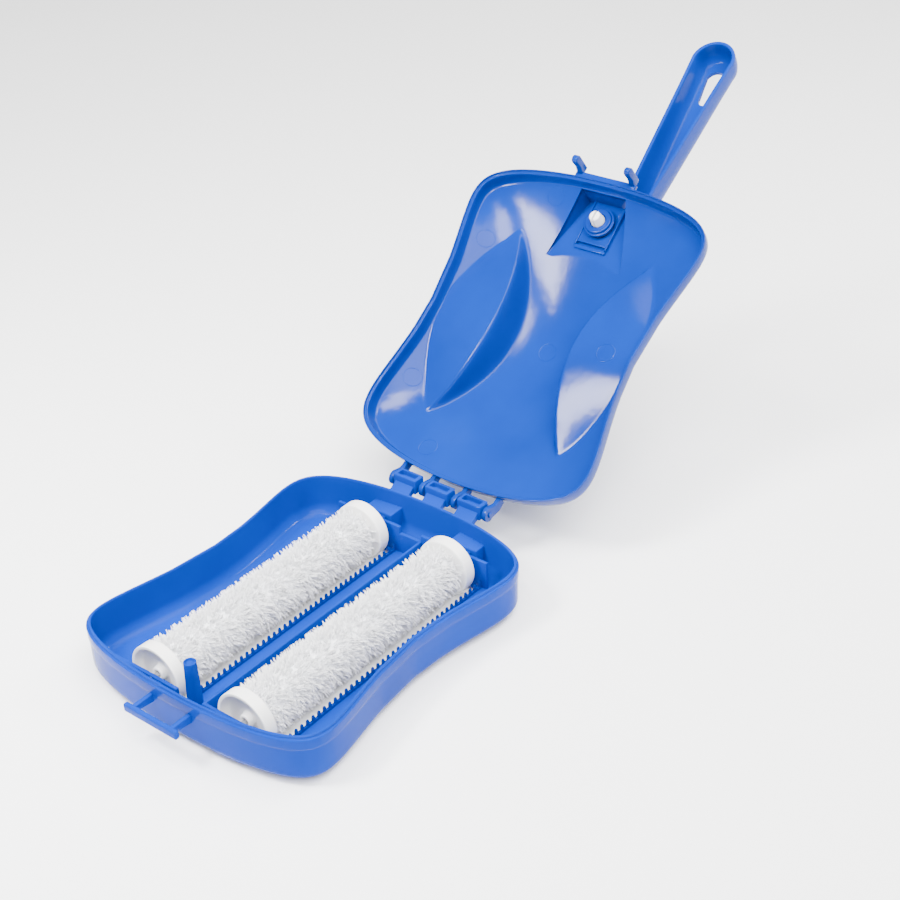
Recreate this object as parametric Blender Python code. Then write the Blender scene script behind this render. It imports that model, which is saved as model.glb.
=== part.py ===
"""Hand-held two-roller crumb sweeper, shown with its lid swung open.

Metres, +Z up. X runs along the casing from the latch end (-X) to the hinge
end (+X), Y across it. The origin is on the flat underside of the tray, on the
bar between the two roller openings. The rollers reach a little below that
face, because the sweeper runs on them.
"""

import math

import bmesh
import bpy
import numpy as np
from mathutils import Matrix, Vector

MM = 0.001

# ---- driving dimensions, in millimetres ----
HALF_L = 77.0  # half length of the casing
WAIST_W = 54.0  # half width at the waist
SWELL = 9.8  # how much wider the casing is towards its ends
RIM_Z = 21.0  # top of the tray's inner lip
LEDGE_Z = 19.9  # outer ledge that the lid's skirt meets
FLOOR_T = 2.0
WALL_T = 2.2
EDGE_R = 4.0  # rounding of the tray's bottom edge

ROLLER_LEFT_Y, ROLLER_RIGHT_Y = 20.7, -25.3
ROLLER_R = 12.7
REACH = 2.1  # how far the rollers stand out below the tray
ROLLER_Z = ROLLER_R - REACH
CAP_X = (-65.2, 58.0)  # outer faces of the two caps
CAP_LEN = 5.4
STEM_R = 1.5
STEM_X = (-70.4, 64.9)

WELL_X = (-65.55, 60.6)
WELL_LO, WELL_HI = 12.8, 13.6  # opening's reach from the roller axis, -Y and +Y
COMB_PITCH = 3.1

HINGE_X, HINGE_Z = 84.1, 20.4
OPEN_DEG = 140.1
ROD_R = 1.3

DOME_EDGE, DOME_RISE = 5.0, 19.5
PAD_H = 16.8  # height of the flat handle pad above the rim plane
LID_T = 1.8
PIN_X = -63.0
HANDLE_TIP_X = -180.6

BLUE = (0.012, 0.13, 0.62)
WHITE = (0.86, 0.86, 0.87)


# ---- helpers ----
def material(name, rgb, rough, metal=0.0):
    m = bpy.data.materials.new(name)
    m.use_nodes = True
    b = m.node_tree.nodes["Principled BSDF"]
    b.inputs["Base Color"].default_value = (*rgb, 1)
    b.inputs["Roughness"].default_value = rough
    b.inputs["Metallic"].default_value = metal
    m.diffuse_color = (*rgb, 1)
    return m


def make(name, verts, faces, mat=None, smooth=False, offset=(0, 0, 0)):
    """A mesh object whose vertices are given in mm, with its origin at offset."""
    me = bpy.data.meshes.new(name)
    o = Vector(offset)
    me.from_pydata([(Vector(v) - o) * MM for v in verts], [], faces)
    me.validate()
    bm = bmesh.new()
    bm.from_mesh(me)
    bmesh.ops.recalc_face_normals(bm, faces=bm.faces)
    bm.to_mesh(me)
    bm.free()
    if smooth:
        me.polygons.foreach_set("use_smooth", [True] * len(me.polygons))
    ob = bpy.data.objects.new(name, me)
    ob.location = o * MM
    bpy.context.scene.collection.objects.link(ob)
    if mat:
        me.materials.append(mat)
    return ob


def loft(loops):
    """Vertices and faces of a closed skin through equal loops, capped at both ends."""
    n = len(loops[0])
    verts = [p for loop in loops for p in loop]
    faces = [tuple(range(n))[::-1]]
    for k in range(len(loops) - 1):
        a, b = k * n, (k + 1) * n
        for i in range(n):
            j = (i + 1) % n
            faces.append((a + i, a + j, b + j, b + i))
    faces.append(tuple(range((len(loops) - 1) * n, len(loops) * n)))
    return verts, faces


def prism(poly, axis, lo, hi):
    """A polygon pushed from lo to hi along axis. poly is in the other two axes, in X, Y, Z order."""
    def at(p, h):
        q = list(p)
        q.insert("XYZ".index(axis), h)
        return tuple(q)

    return loft([[at(p, lo) for p in poly], [at(p, hi) for p in poly]])


def box(x0, x1, y0, y1, z0, z1):
    return prism([(x0, y0), (x1, y0), (x1, y1), (x0, y1)], "Z", z0, z1)


def turned(profile, n, axis="X", centre=(0, 0, 0), turn=0.0):
    """A closed ring turned about an axis. profile is a closed list of (along, radius), every radius over zero."""
    verts, faces, m = [], [], len(profile)
    for i in range(n):
        a = 2 * math.pi * i / n + turn
        for h, r in profile:
            p = (h, r * math.cos(a), r * math.sin(a))
            if axis == "Z":
                p = (p[1], p[2], p[0])
            if axis == "Y":
                p = (p[2], p[0], p[1])
            verts.append(tuple(c + d for c, d in zip(p, centre)))
    for i in range(n):
        a, b = i * m, ((i + 1) % n) * m
        for j in range(m):
            k = (j + 1) % m
            faces.append((a + j, a + k, b + k, b + j))
    return verts, faces


def rod(x0, x1, r, n, axis="X", centre=(0, 0, 0), turn=0.0):
    ring = lambda h, rr: [
        (h, rr * math.cos(2 * math.pi * i / n + turn), rr * math.sin(2 * math.pi * i / n + turn)) for i in range(n)
    ]
    loops = [ring(x0, r), ring(x1, r)]
    order = {"X": lambda p: p, "Z": lambda p: (p[1], p[2], p[0]), "Y": lambda p: (p[2], p[0], p[1])}[axis]
    return loft([[tuple(c + d for c, d in zip(order(p), centre)) for p in loop] for loop in loops])


def combine(target, piece, how):
    """Boolean a (verts, faces) piece into target and keep the result as its mesh."""
    cutter = make("guide", *piece)
    cutter.hide_render, cutter.display_type = True, "WIRE"
    mod = target.modifiers.new("cut", "BOOLEAN")
    mod.operation, mod.object, mod.solver = how, cutter, "EXACT"
    dg = bpy.context.evaluated_depsgraph_get()
    done = bpy.data.meshes.new_from_object(target.evaluated_get(dg))
    old = target.data
    target.modifiers.clear()
    done.name = old.name
    target.data = done
    bpy.data.objects.remove(cutter)
    bpy.data.meshes.remove(old)


def clean(ob, weld=0.02):
    bm = bmesh.new()
    bm.from_mesh(ob.data)
    bmesh.ops.remove_doubles(bm, verts=bm.verts, dist=weld * MM)
    bmesh.ops.dissolve_degenerate(bm, edges=bm.edges, dist=weld * MM)
    bmesh.ops.recalc_face_normals(bm, faces=bm.faces)
    bm.to_mesh(ob.data)
    bm.free()


def shade(ob, angle=35):
    ob.data.polygons.foreach_set("use_smooth", [True] * len(ob.data.polygons))
    ob.data.set_sharp_from_angle(angle=math.radians(angle))


# ---- the waisted outline ----
def half_width(x):
    u = np.clip(np.abs(x) / HALF_L, 0, 1)
    return WAIST_W + SWELL * (1 - np.cos(np.pi * u)) / 2


def fine_outline(n=2400):
    a = np.linspace(0, 2 * np.pi, n, endpoint=False)
    c, s = np.cos(a), np.sin(a)
    power = np.where(c > 0, 2 / 8.4, 2 / 11.0)
    x = HALF_L * np.sign(c) * np.abs(c) ** power
    return np.c_[x, half_width(x) * s]


def even(loop, n):
    """n points along a closed loop, closer together where it bends."""
    d = np.roll(loop, -1, 0) - loop
    step = np.hypot(*d.T)
    ang = np.arctan2(d[:, 1], d[:, 0])
    bend = np.abs((np.roll(ang, -1) - ang + np.pi) % (2 * np.pi) - np.pi)
    cost = np.r_[0, np.cumsum(step + 22.0 * bend)]
    closed = np.vstack([loop, loop[:1]])
    t = (np.arange(n) + 0.5) / n * cost[-1]
    return np.c_[np.interp(t, cost, closed[:, 0]), np.interp(t, cost, closed[:, 1])]


def outline(n):
    return even(fine_outline(), n)


def inward(loop):
    d = np.roll(loop, -1, 0) - np.roll(loop, 1, 0)
    return np.c_[-d[:, 1], d[:, 0]] / np.hypot(*d.T)[:, None]


RIM = outline(64)
RIM_IN = inward(RIM)


def ring(offset, z):
    return [(p[0], p[1], z) for p in RIM + RIM_IN * offset]


# ---- heights of the lid above the rim plane ----
def dome(x, y):
    u = np.clip(np.abs(x) / (HALF_L * 0.96), 0, 1)
    v = np.clip(np.abs(y) / (half_width(x) * 0.97), 0, 1)
    return DOME_EDGE + DOME_RISE * (1 - u**2) * (1 - v**2)


def blend(lo, hi, t):
    t = np.clip(t, 0, 1)
    t = t * t * (3 - 2 * t)
    return lo + (hi - lo) * t


def lid_height(x, y, soft=1.0):
    """Inner face of the lid above the rim plane: dome, two finger grips and the flat handle pad. soft widens the steep walls."""
    ay = np.abs(y)
    t = dome(x, y)
    p = np.clip(1 - ((x + 0.5) / 48.5) ** 2, 0, 1)
    crest_y = 36 - 14.5 * p
    base_y = crest_y - 4.5 * np.sqrt(p) * soft
    edge_y = 36 + 16 * p
    crest_t = dome(x, crest_y) - 16.4 * p**1.2
    steep = blend(dome(x, base_y), crest_t, (ay - base_y) / np.maximum(crest_y - base_y, 1e-3))
    w = np.clip((ay - crest_y) / np.maximum(edge_y - crest_y, 1e-3), 0, 1)
    slope = crest_t + (dome(x, edge_y) - crest_t) * w**1.3
    inside = (p > 0) & (ay > base_y) & (ay < edge_y)
    t = np.where(inside, np.where(ay < crest_y, steep, slope), t)
    pad_w = 11.0 + 9.0 * np.clip((x + 77) / 34, 0, 1)
    k = blend(1.0, 0.0, (ay - pad_w) / (0.5 + 1.5 * soft)) * blend(1.0, 0.0, (x + 42) / 4)
    return np.where(t < PAD_H, t + (PAD_H - t) * k, t)


# ---- start clean ----
for ob in list(bpy.data.objects):
    bpy.data.objects.remove(ob)

blue = material("casing_blue", BLUE, 0.22)
blue_lid = material("lid_blue", BLUE, 0.2)
blue_handle = material("handle_blue", BLUE, 0.25)
blue_small = material("bearing_blue", BLUE, 0.3)
blue_comb = material("comb_blue", BLUE, 0.3)
white_cap = material("cap_white", WHITE, 0.35)
white_bristle = material("bristle_white", (0.84, 0.85, 0.87), 0.6)
white_pin = material("pin_white", WHITE, 0.35)
steel = material("stem_steel", (0.6, 0.6, 0.62), 0.3, 1.0)
blue_collar = material("collar_blue", BLUE, 0.3)
blue_rod = material("hinge_rod_blue", BLUE, 0.3)

# ---- tray ----
loops = []
for a in (0, 30, 60, 90):
    a = math.radians(a)
    loops.append(ring(0.5 + EDGE_R * (1 - math.sin(a)), EDGE_R * (1 - math.cos(a))))
loops += [ring(0.0, LEDGE_Z), ring(1.0, LEDGE_Z), ring(1.0, RIM_Z), ring(WALL_T, RIM_Z), ring(WALL_T + 0.6, 9.0)]
loops += [ring(WALL_T + 1.6, 5.6), ring(WALL_T + 3.4, 3.2), ring(WALL_T + 6.4, FLOOR_T)]
tray = make("tray_shell", *loft(loops), blue)

for y in (ROLLER_LEFT_Y, ROLLER_RIGHT_Y):
    combine(tray, box(*WELL_X, y - WELL_LO, y + WELL_HI, -2, 4), "DIFFERENCE")


def notched(y0, y1, yc, z0, z1):
    """Upright plate outline in YZ with an open slot for the stem."""
    s = STEM_R + 0.4
    return [
        (y0, z0), (y1, z0), (y1, z1), (yc + s, z1), (yc + s, ROLLER_Z - 0.5), (yc + s * 0.6, ROLLER_Z - s),
        (yc - s * 0.6, ROLLER_Z - s), (yc - s, ROLLER_Z - 0.5), (yc - s, z1), (y0, z1),
    ]


def end_block(x, y0, y1, top):
    """A block from x back into the casing's end wall."""
    def wall(y):
        c = math.sqrt(1 - (y / float(half_width(HALF_L))) ** 2)
        return HALF_L * c ** (2 / 8.4) - 1.1 if x > 0 else 1.1 - HALF_L * c ** (2 / 11.0)

    return prism([(x, y0), (x, y1), (wall(y1), y1), (wall(y0), y0)], "Z", 1.3, top)


FRONT_TOP, REAR_TOP = 12.2, 14.9  # tops of the cross walls that hold the stems
for y, front, wall in (
    (ROLLER_LEFT_Y, (6.8, 41.0), (13.9, 15.1, 7.0)),
    (ROLLER_RIGHT_Y, (-41.0, -6.5), (17.6, 18.8, FRONT_TOP)),
):
    combine(tray, prism(notched(*front, y, 1.1, FRONT_TOP), "X", -67.4, -65.8), "UNION")
    combine(tray, prism(notched(y - 16.4, y + 18.2, y, 1.2, REAR_TOP), "X", 60.9, 62.5), "UNION")
    combine(tray, end_block(-71.3, y - 7.9, y + 7.9, FRONT_TOP - 0.2), "UNION")
    combine(tray, end_block(66.3, y - 7.2, y + 7.2, 14.2), "UNION")
    combine(tray, box(-66.4, 61.6, y + wall[0], y + wall[1], 0.9, wall[2]), "UNION")
combine(tray, box(60.9, 62.5, -7.6, 4.6, 1.0, 11.6), "UNION")
combine(tray, rod(1.5, RIM_Z + 6.0, 2.5, 14, "Z", (PIN_X - 1.6, 0, 0)), "UNION")

# hinge knuckles: three open-topped boxes on slanted webs
KNUCKLES = (-17.5, 0.0, 17.5)
KW = 6.15
for yc in KNUCKLES:
    web = [(74.9, 15.3), (82.0, 18.6), (82.0, 22.4), (77.5, 19.4), (74.9, 19.0)]
    combine(tray, prism(web, "Y", yc - KW + 1.1, yc + KW - 1.1), "UNION")
    combine(tray, box(80.9, 86.9, yc - KW, yc + KW, 17.9, 24.7), "UNION")
    combine(tray, box(82.2, 85.6, yc - KW + 1.5, yc + KW - 1.5, 22.5, 26.0), "DIFFERENCE")
combine(tray, rod(-26.0, 26.0, ROD_R + 0.35, 12, "Y", (HINGE_X, 0, HINGE_Z)), "DIFFERENCE")

# latch bracket: two ribs carrying a bar with overhanging ends
for side in (1, -1):
    combine(tray, box(-85.9, -75.2, side * 10.0 - 0.9, side * 10.0 + 0.9, 12.4, 15.2), "UNION")
combine(tray, box(-87.0, -84.8, -13.8, 13.8, 12.0, 15.6), "UNION")
clean(tray)
shade(tray)

# ---- lint combs ----
for y, name in ((ROLLER_LEFT_Y, "lint_comb_left"), (ROLLER_RIGHT_Y, "lint_comb_right")):
    y1 = y - WELL_LO - 0.15
    y0 = y1 - 1.1
    count = 40
    x0 = WELL_X[0] + 0.7
    poly = [(x0, 2.3), (x0 + count * COMB_PITCH + 1.1, 2.3)]
    for i in range(count, -1, -1):
        xa = x0 + i * COMB_PITCH
        poly += [(xa + 1.1, 5.6), (xa, 5.6)]
        if i:
            poly += [(xa, 3.2), (xa - COMB_PITCH + 1.1, 3.2)]
    make(name, *prism(poly, "Y", y0, y1), blue_comb)

# ---- stem bearings ----
for y, word in ((ROLLER_LEFT_Y, "left"), (ROLLER_RIGHT_Y, "right")):
    plate = notched(y - 7.0, y + 7.0, y, 5.9, FRONT_TOP - 0.2)
    make("bearing_front_" + word, *prism(plate, "X", -70.9, -67.7), blue_small)
    plate = notched(y - 4.6, y + 4.6, y, 2.35, ROLLER_Z + 2.6)
    make("bearing_rear_" + word, *prism(plate, "X", 62.8, 66.0), blue_small)

# ---- rollers ----
for y, word in ((ROLLER_LEFT_Y, "left"), (ROLLER_RIGHT_Y, "right")):
    c = (0, y, ROLLER_Z)
    axis = bpy.data.objects.new("axis_roller_" + word, None)
    axis.location = Vector(c) * MM
    bpy.context.scene.collection.objects.link(axis)
    bpy.context.view_layer.update()
    pieces = [make(f"roller_{word}_stem", *rod(*STEM_X, STEM_R, 12, "X", c), steel, offset=c)]
    shade(pieces[-1])
    lo, hi = CAP_X[0] + CAP_LEN + 0.3, CAP_X[1] - CAP_LEN - 0.3
    body = [(lo, STEM_R + 0.3), (hi, STEM_R + 0.3), (hi, ROLLER_R - 1.4), (hi - 1.5, ROLLER_R - 0.2),
            (lo + 1.5, ROLLER_R - 0.2), (lo, ROLLER_R - 1.4)]
    pieces.append(make(f"roller_{word}_bristles", *turned(body, 26, "X", c), white_bristle, offset=c))
    shade(pieces[-1])
    for end, sign, word2 in ((CAP_X[0], 1, "front"), (CAP_X[1], -1, "rear")):
        r = STEM_R + 0.3
        cup = [(0, ROLLER_R - 1.6), (0, ROLLER_R - 0.3), (0.5, ROLLER_R), (CAP_LEN - 0.8, ROLLER_R),
               (CAP_LEN, ROLLER_R - 1.0), (CAP_LEN, r), (1.0, r), (1.0, r + 1.8), (CAP_LEN - 1.8, r + 1.8),
               (CAP_LEN - 1.8, ROLLER_R - 1.9)]
        cup = [(end + sign * h, rr) for h, rr in cup]
        pieces.append(make(f"roller_{word}_cap_{word2}", *turned(cup, 26, "X", c), white_cap, offset=c))
        shade(pieces[-1])
    for p in pieces:
        p.parent = axis
        p.matrix_parent_inverse = axis.matrix_world.inverted()

# ---- hinge rod ----
rod_ob = make("hinge_rod", *rod(-27.4, 27.4, ROD_R, 12, "Y", (HINGE_X, 0, HINGE_Z)), blue_rod,
              offset=(HINGE_X, 0, HINGE_Z))
shade(rod_ob)

# ---- lid, modelled closed ----
pivot = bpy.data.objects.new("axis_lid", None)
pivot.location = Vector((HINGE_X, 0, HINGE_Z)) * MM
bpy.context.scene.collection.objects.link(pivot)

BASE = RIM_Z + 0.3
SCALES = (0.955, 0.915, 0.87, 0.82, 0.765, 0.705, 0.64, 0.57, 0.5, 0.42, 0.33, 0.23, 0.12)


def lid_ring(offset, z):
    return [(p[0], p[1], z) for p in RIM + RIM_IN * offset]


def lid_field(scale, lift, offset):
    out = []
    for p in (RIM + RIM_IN * offset) * scale:
        out.append((p[0], p[1], BASE + float(lid_height(p[0], p[1])) + lift))
    return out


loops = [lid_field(s, 0.0, 2.6) for s in reversed(SCALES)]
loops += [lid_field(1.0, -0.6, 3.2), lid_ring(2.1, BASE + 2.6), lid_ring(1.8, BASE), lid_ring(0.65, BASE),
          lid_ring(0.65, LEDGE_Z + 0.35), lid_ring(0.0, LEDGE_Z + 0.35), lid_ring(0.0, BASE + 2.6),
          lid_ring(0.6, BASE + 5.2)]
loops += [lid_field(1.0, LID_T - 0.1, 2.0)]
loops += [lid_field(s, LID_T, 1.6) for s in SCALES]
lid = make("lid_shell", *loft(loops), blue_lid)

ARMS = (-25.4, -8.75, 8.75, 25.4)
for ya in ARMS:
    eye = [(HINGE_X + 3.3 * math.cos(math.radians(a)), HINGE_Z + 3.3 * math.sin(math.radians(a)))
           for a in range(-150, 91, 30)]
    poly = [(74.6, BASE + 1.2)] + [(78.6, BASE + 0.5)] + eye + [(79.5, BASE + 5.0), (74.6, BASE + 5.4)]
    combine(lid, prism(poly, "Y", ya - 1.1, ya + 1.1), "UNION")
combine(lid, rod(-28.0, 28.0, ROD_R + 0.35, 12, "Y", (HINGE_X, 0, HINGE_Z)), "DIFFERENCE")

# latch prongs joined by a bar
combine(lid, box(-79.9, -75.0, -15.9, 15.9, BASE + 0.7, BASE + 2.9), "UNION")
for side in (1, -1):
    tip = [(-83.2, BASE + 2.4)] + [(-81.3 + 1.9 * math.cos(math.radians(a)), 12.9 + 1.9 * math.sin(math.radians(a)))
                                   for a in range(180, 361, 30)] + [(-80.1, BASE - 2.0), (-78.4, BASE + 1.1), (-78.4, BASE + 2.4)]
    combine(lid, prism(tip, "Y", side * 13.8 - 1.5, side * 13.8 + 1.5), "UNION")
combine(lid, rod(BASE + PAD_H - 4, BASE + PAD_H + 6, 7.9, 20, "Z", (PIN_X, 0, 0)), "DIFFERENCE")
clean(lid)
shade(lid)

# ---- handle pin and collar ----
PAD_Z = BASE + PAD_H
swivel = bpy.data.objects.new("axis_handle", None)
swivel.location = Vector((PIN_X, 0, PAD_Z + 10)) * MM
bpy.context.scene.collection.objects.link(swivel)
pin_c = (PIN_X, 0, 0)


def stack(levels, n, c):
    return loft([[(c[0] + r * math.cos(2 * math.pi * i / n), c[1] + r * math.sin(2 * math.pi * i / n), z)
                  for i in range(n)] for z, r in levels])


TIP_Z = RIM_Z + 6.4
pin = make("handle_pin", *stack([(TIP_Z, 2.0), (TIP_Z + 0.5, 2.5), (TIP_Z + 3.4, 3.8), (TIP_Z + 4.6, 3.8),
                                 (TIP_Z + 5.2, 2.6), (PAD_Z + 14.0, 2.6)], 20, pin_c), white_pin)
combine(pin, box(PIN_X - 5, PIN_X + 5, -0.45, 0.45, TIP_Z - 1, TIP_Z + 6.5), "DIFFERENCE")
clean(pin)
shade(pin)
collar = make("pin_collar", *turned([(TIP_Z + 3.4, 4.3), (TIP_Z + 3.4, 6.4), (TIP_Z + 5.0, 6.7), (TIP_Z + 5.0, 7.5),
                                     (TIP_Z + 6.8, 7.5), (TIP_Z + 8.0, 5.4), (PAD_Z + 1.9, 5.4), (PAD_Z + 1.9, 3.1),
                                     (TIP_Z + 5.6, 3.1), (TIP_Z + 5.6, 4.3)], 24, "Z", pin_c), blue_collar)
shade(collar)

# ---- handle: a U channel, open downwards, that rises a little towards its tip ----
def lip_z(x):
    return 52.7 + 0.0613 * max(0.0, -80.0 - x)


def top_z(x):
    return 69.0 + 0.03 * max(0.0, -80.0 - x)


def handle_half(x):
    """Half width of the handle at its lips."""
    knots = [(-180, 11.2), (-167, 11.0), (-155, 10.1), (-136, 9.1), (-114, 7.9), (-93, 6.7), (-72, 7.8), (-56, 8.6)]
    return float(np.interp(x, [k[0] for k in knots], [k[1] for k in knots]))


def handle_loop(offset, height, drop, n_arc=8):
    """A loop round the handle, offset in from its sides and drop below height(x)."""
    pts = []
    r0, r1 = 11.2 - offset, handle_half(PIN_X) - offset
    for i in range(n_arc + 1):
        a = math.pi / 2 + math.pi * i / n_arc
        pts.append((HANDLE_TIP_X + 11.2 + r0 * math.cos(a), r0 * math.sin(a)))
    side = [-150, -132, -114, -100, -88, -76]
    pts += [(x, -(handle_half(x) - offset)) for x in side]
    for i in range(n_arc + 1):
        a = -math.pi / 2 + math.pi * i / n_arc
        pts.append((PIN_X + r1 * math.cos(a), r1 * math.sin(a)))
    pts += [(x, handle_half(x) - offset) for x in reversed(side)]
    return [(x, y, height(x) - drop) for x, y in pts]


hl = [handle_loop(5.0, top_z, 0.0), handle_loop(2.7, top_z, 1.0), handle_loop(1.1, top_z, 3.2),
      handle_loop(0.3, top_z, 7.0), handle_loop(0.0, lip_z, 0.0), handle_loop(1.7, lip_z, 0.0),
      handle_loop(2.1, top_z, 7.0), handle_loop(3.0, top_z, 4.2), handle_loop(5.4, top_z, 2.0)]
handle = make("handle", *loft(hl), blue_handle)
combine(handle, rod(PAD_Z + LID_T + 0.45, top_z(PIN_X) - 1.0, 7.6, 20, "Z", pin_c), "UNION")
combine(handle, rod(PAD_Z + LID_T - 1, PAD_Z + 14.4, 2.95, 16, "Z", pin_c), "DIFFERENCE")
wide, narrow = (-165.4, 4.8), (-153.4, 3.0)
slot = [(wide[0] + wide[1] * math.cos(math.radians(a)), wide[1] * math.sin(math.radians(a))) for a in range(97, 264, 18)]
slot += [(narrow[0] + narrow[1] * math.cos(math.radians(a)), narrow[1] * math.sin(math.radians(a))) for a in range(-83, 84, 24)]
combine(handle, prism(slot, "Z", top_z(-160) - 6, top_z(-160) + 3), "DIFFERENCE")
clean(handle)
shade(handle)

# ---- parent and swing open ----
bpy.context.view_layer.update()
for ob in (handle, pin, collar):
    ob.parent = swivel
    ob.matrix_parent_inverse = swivel.matrix_world.inverted()
lid.parent = pivot
lid.matrix_parent_inverse = pivot.matrix_world.inverted()
swivel.parent = pivot
swivel.matrix_parent_inverse = pivot.matrix_world.inverted()
pivot.rotation_euler = (0, math.radians(OPEN_DEG), 0)
bpy.context.view_layer.update()
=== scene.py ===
"""Visual model of the two-roller crumb sweeper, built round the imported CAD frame."""

import math

import bmesh
import bpy
import numpy as np
from mathutils import Matrix, Vector


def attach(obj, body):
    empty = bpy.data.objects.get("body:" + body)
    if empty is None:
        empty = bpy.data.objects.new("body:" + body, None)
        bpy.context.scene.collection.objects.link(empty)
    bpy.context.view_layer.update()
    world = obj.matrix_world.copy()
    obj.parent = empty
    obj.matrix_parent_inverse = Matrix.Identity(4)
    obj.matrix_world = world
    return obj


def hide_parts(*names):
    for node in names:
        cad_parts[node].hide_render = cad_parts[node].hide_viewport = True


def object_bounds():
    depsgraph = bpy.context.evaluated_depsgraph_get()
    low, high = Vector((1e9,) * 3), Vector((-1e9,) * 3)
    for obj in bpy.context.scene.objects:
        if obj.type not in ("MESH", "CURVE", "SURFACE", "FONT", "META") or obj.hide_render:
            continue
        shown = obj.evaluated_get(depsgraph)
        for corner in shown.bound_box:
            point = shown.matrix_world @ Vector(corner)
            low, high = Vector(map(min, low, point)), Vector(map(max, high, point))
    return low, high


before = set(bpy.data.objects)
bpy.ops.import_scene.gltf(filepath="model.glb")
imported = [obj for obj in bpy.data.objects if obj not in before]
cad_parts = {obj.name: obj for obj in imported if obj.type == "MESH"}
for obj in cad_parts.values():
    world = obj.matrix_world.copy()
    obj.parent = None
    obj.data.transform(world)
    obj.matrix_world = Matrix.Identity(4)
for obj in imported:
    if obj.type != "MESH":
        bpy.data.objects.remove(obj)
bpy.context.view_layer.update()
MM = 0.001

# ---- dimensions shared with the CAD source, in millimetres ----
HALF_L, WAIST_W, SWELL = 77.0, 54.0, 9.8
RIM_Z, LEDGE_Z, FLOOR_T, WALL_T, EDGE_R = 21.0, 19.9, 2.0, 2.2, 4.0
ROLLERS = {"left": 20.7, "right": -25.3}
ROLLER_R, ROLLER_Z = 12.7, 10.6
CAP_X, CAP_LEN = (-65.2, 58.0), 5.4
STEM_R, STEM_X = 1.5, (-70.4, 64.9)
WELL_X, WELL_LO, WELL_HI = (-65.55, 60.6), 12.8, 13.6
COMB_PITCH = 3.1
HINGE_X, HINGE_Z, OPEN_DEG, ROD_R = 84.1, 20.4, 140.1, 1.3
DOME_EDGE, DOME_RISE, PAD_H, LID_T, PIN_X = 5.0, 19.5, 16.8, 1.8, -63.0
HANDLE_TIP_X = -180.6
BASE = RIM_Z + 0.3
PAD_Z = BASE + PAD_H
TIP_Z = RIM_Z + 6.4
FRONT_TOP, REAR_TOP = 12.2, 14.9

A = math.radians(OPEN_DEG)
CA, SA = math.cos(A), math.sin(A)


def opened(v):
    """Points of the shut lid or handle, in mm, moved to where they are with the lid open."""
    v = np.asarray(v, float)
    dx, dz = v[:, 0] - HINGE_X, v[:, 2] - HINGE_Z
    return np.c_[HINGE_X + dx * CA + dz * SA, v[:, 1], HINGE_Z - dx * SA + dz * CA]


# ---- materials ----
def nodes_of(name):
    m = bpy.data.materials.new(name)
    m.use_nodes = True
    return m, m.node_tree, m.node_tree.nodes["Principled BSDF"]


def link(t, a, b):
    t.links.new(a, b)


def noise(t, scale, detail, rough=0.5, dist=0.0):
    co = t.nodes.new("ShaderNodeTexCoord")
    n = t.nodes.new("ShaderNodeTexNoise")
    n.inputs["Scale"].default_value = scale
    n.inputs["Detail"].default_value = detail
    n.inputs["Roughness"].default_value = rough
    n.inputs["Distortion"].default_value = dist
    link(t, co.outputs["Object"], n.inputs["Vector"])
    return n


def ramp(t, src, stops):
    r = t.nodes.new("ShaderNodeValToRGB")
    e = r.color_ramp.elements
    while len(e) < len(stops):
        e.new(0.5)
    for el, (p, c) in zip(e, stops):
        el.position, el.color = p, (*c, 1)
    link(t, src, r.inputs["Fac"])
    return r


def to_range(t, src, a, b):
    m = t.nodes.new("ShaderNodeMapRange")
    m.inputs["To Min"].default_value, m.inputs["To Max"].default_value = a, b
    link(t, src, m.inputs["Value"])
    return m.outputs["Result"]


def plastic(name, lo, hi, rough, spread, peel=0.04, coat=0.0, sss=0.0, spec=0.5, ior=1.49):
    """Moulded plastic: slow colour drift, faint orange peel, fine scuffs in the roughness."""
    m, t, b = nodes_of(name)
    drift = noise(t, 22.0, 3.0)
    r = ramp(t, drift.outputs["Fac"], [(0.3, lo), (0.7, hi)])
    link(t, r.outputs["Color"], b.inputs["Base Color"])
    scuff = noise(t, 420.0, 6.0, 0.62, 0.4)
    link(t, to_range(t, scuff.outputs["Fac"], rough - spread, rough + spread), b.inputs["Roughness"])
    peel_n = noise(t, 150.0, 2.0)
    fine = noise(t, 2600.0, 2.0)
    mix = t.nodes.new("ShaderNodeMath")
    mix.operation = "MULTIPLY_ADD"
    link(t, fine.outputs["Fac"], mix.inputs[0])
    mix.inputs[1].default_value = 0.06
    link(t, peel_n.outputs["Fac"], mix.inputs[2])
    bump = t.nodes.new("ShaderNodeBump")
    bump.inputs["Strength"].default_value = peel
    bump.inputs["Distance"].default_value = 0.002
    link(t, mix.outputs["Value"], bump.inputs["Height"])
    link(t, bump.outputs["Normal"], b.inputs["Normal"])
    b.inputs["IOR"].default_value = ior
    b.inputs["Specular IOR Level"].default_value = spec
    b.inputs["Coat Weight"].default_value = coat
    b.inputs["Coat Roughness"].default_value = 0.08
    if sss:
        b.inputs["Subsurface Weight"].default_value = sss
        b.inputs["Subsurface Scale"].default_value = 0.004
        b.inputs["Subsurface Radius"].default_value = (0.6, 0.8, 1.0)
    return m


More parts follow.
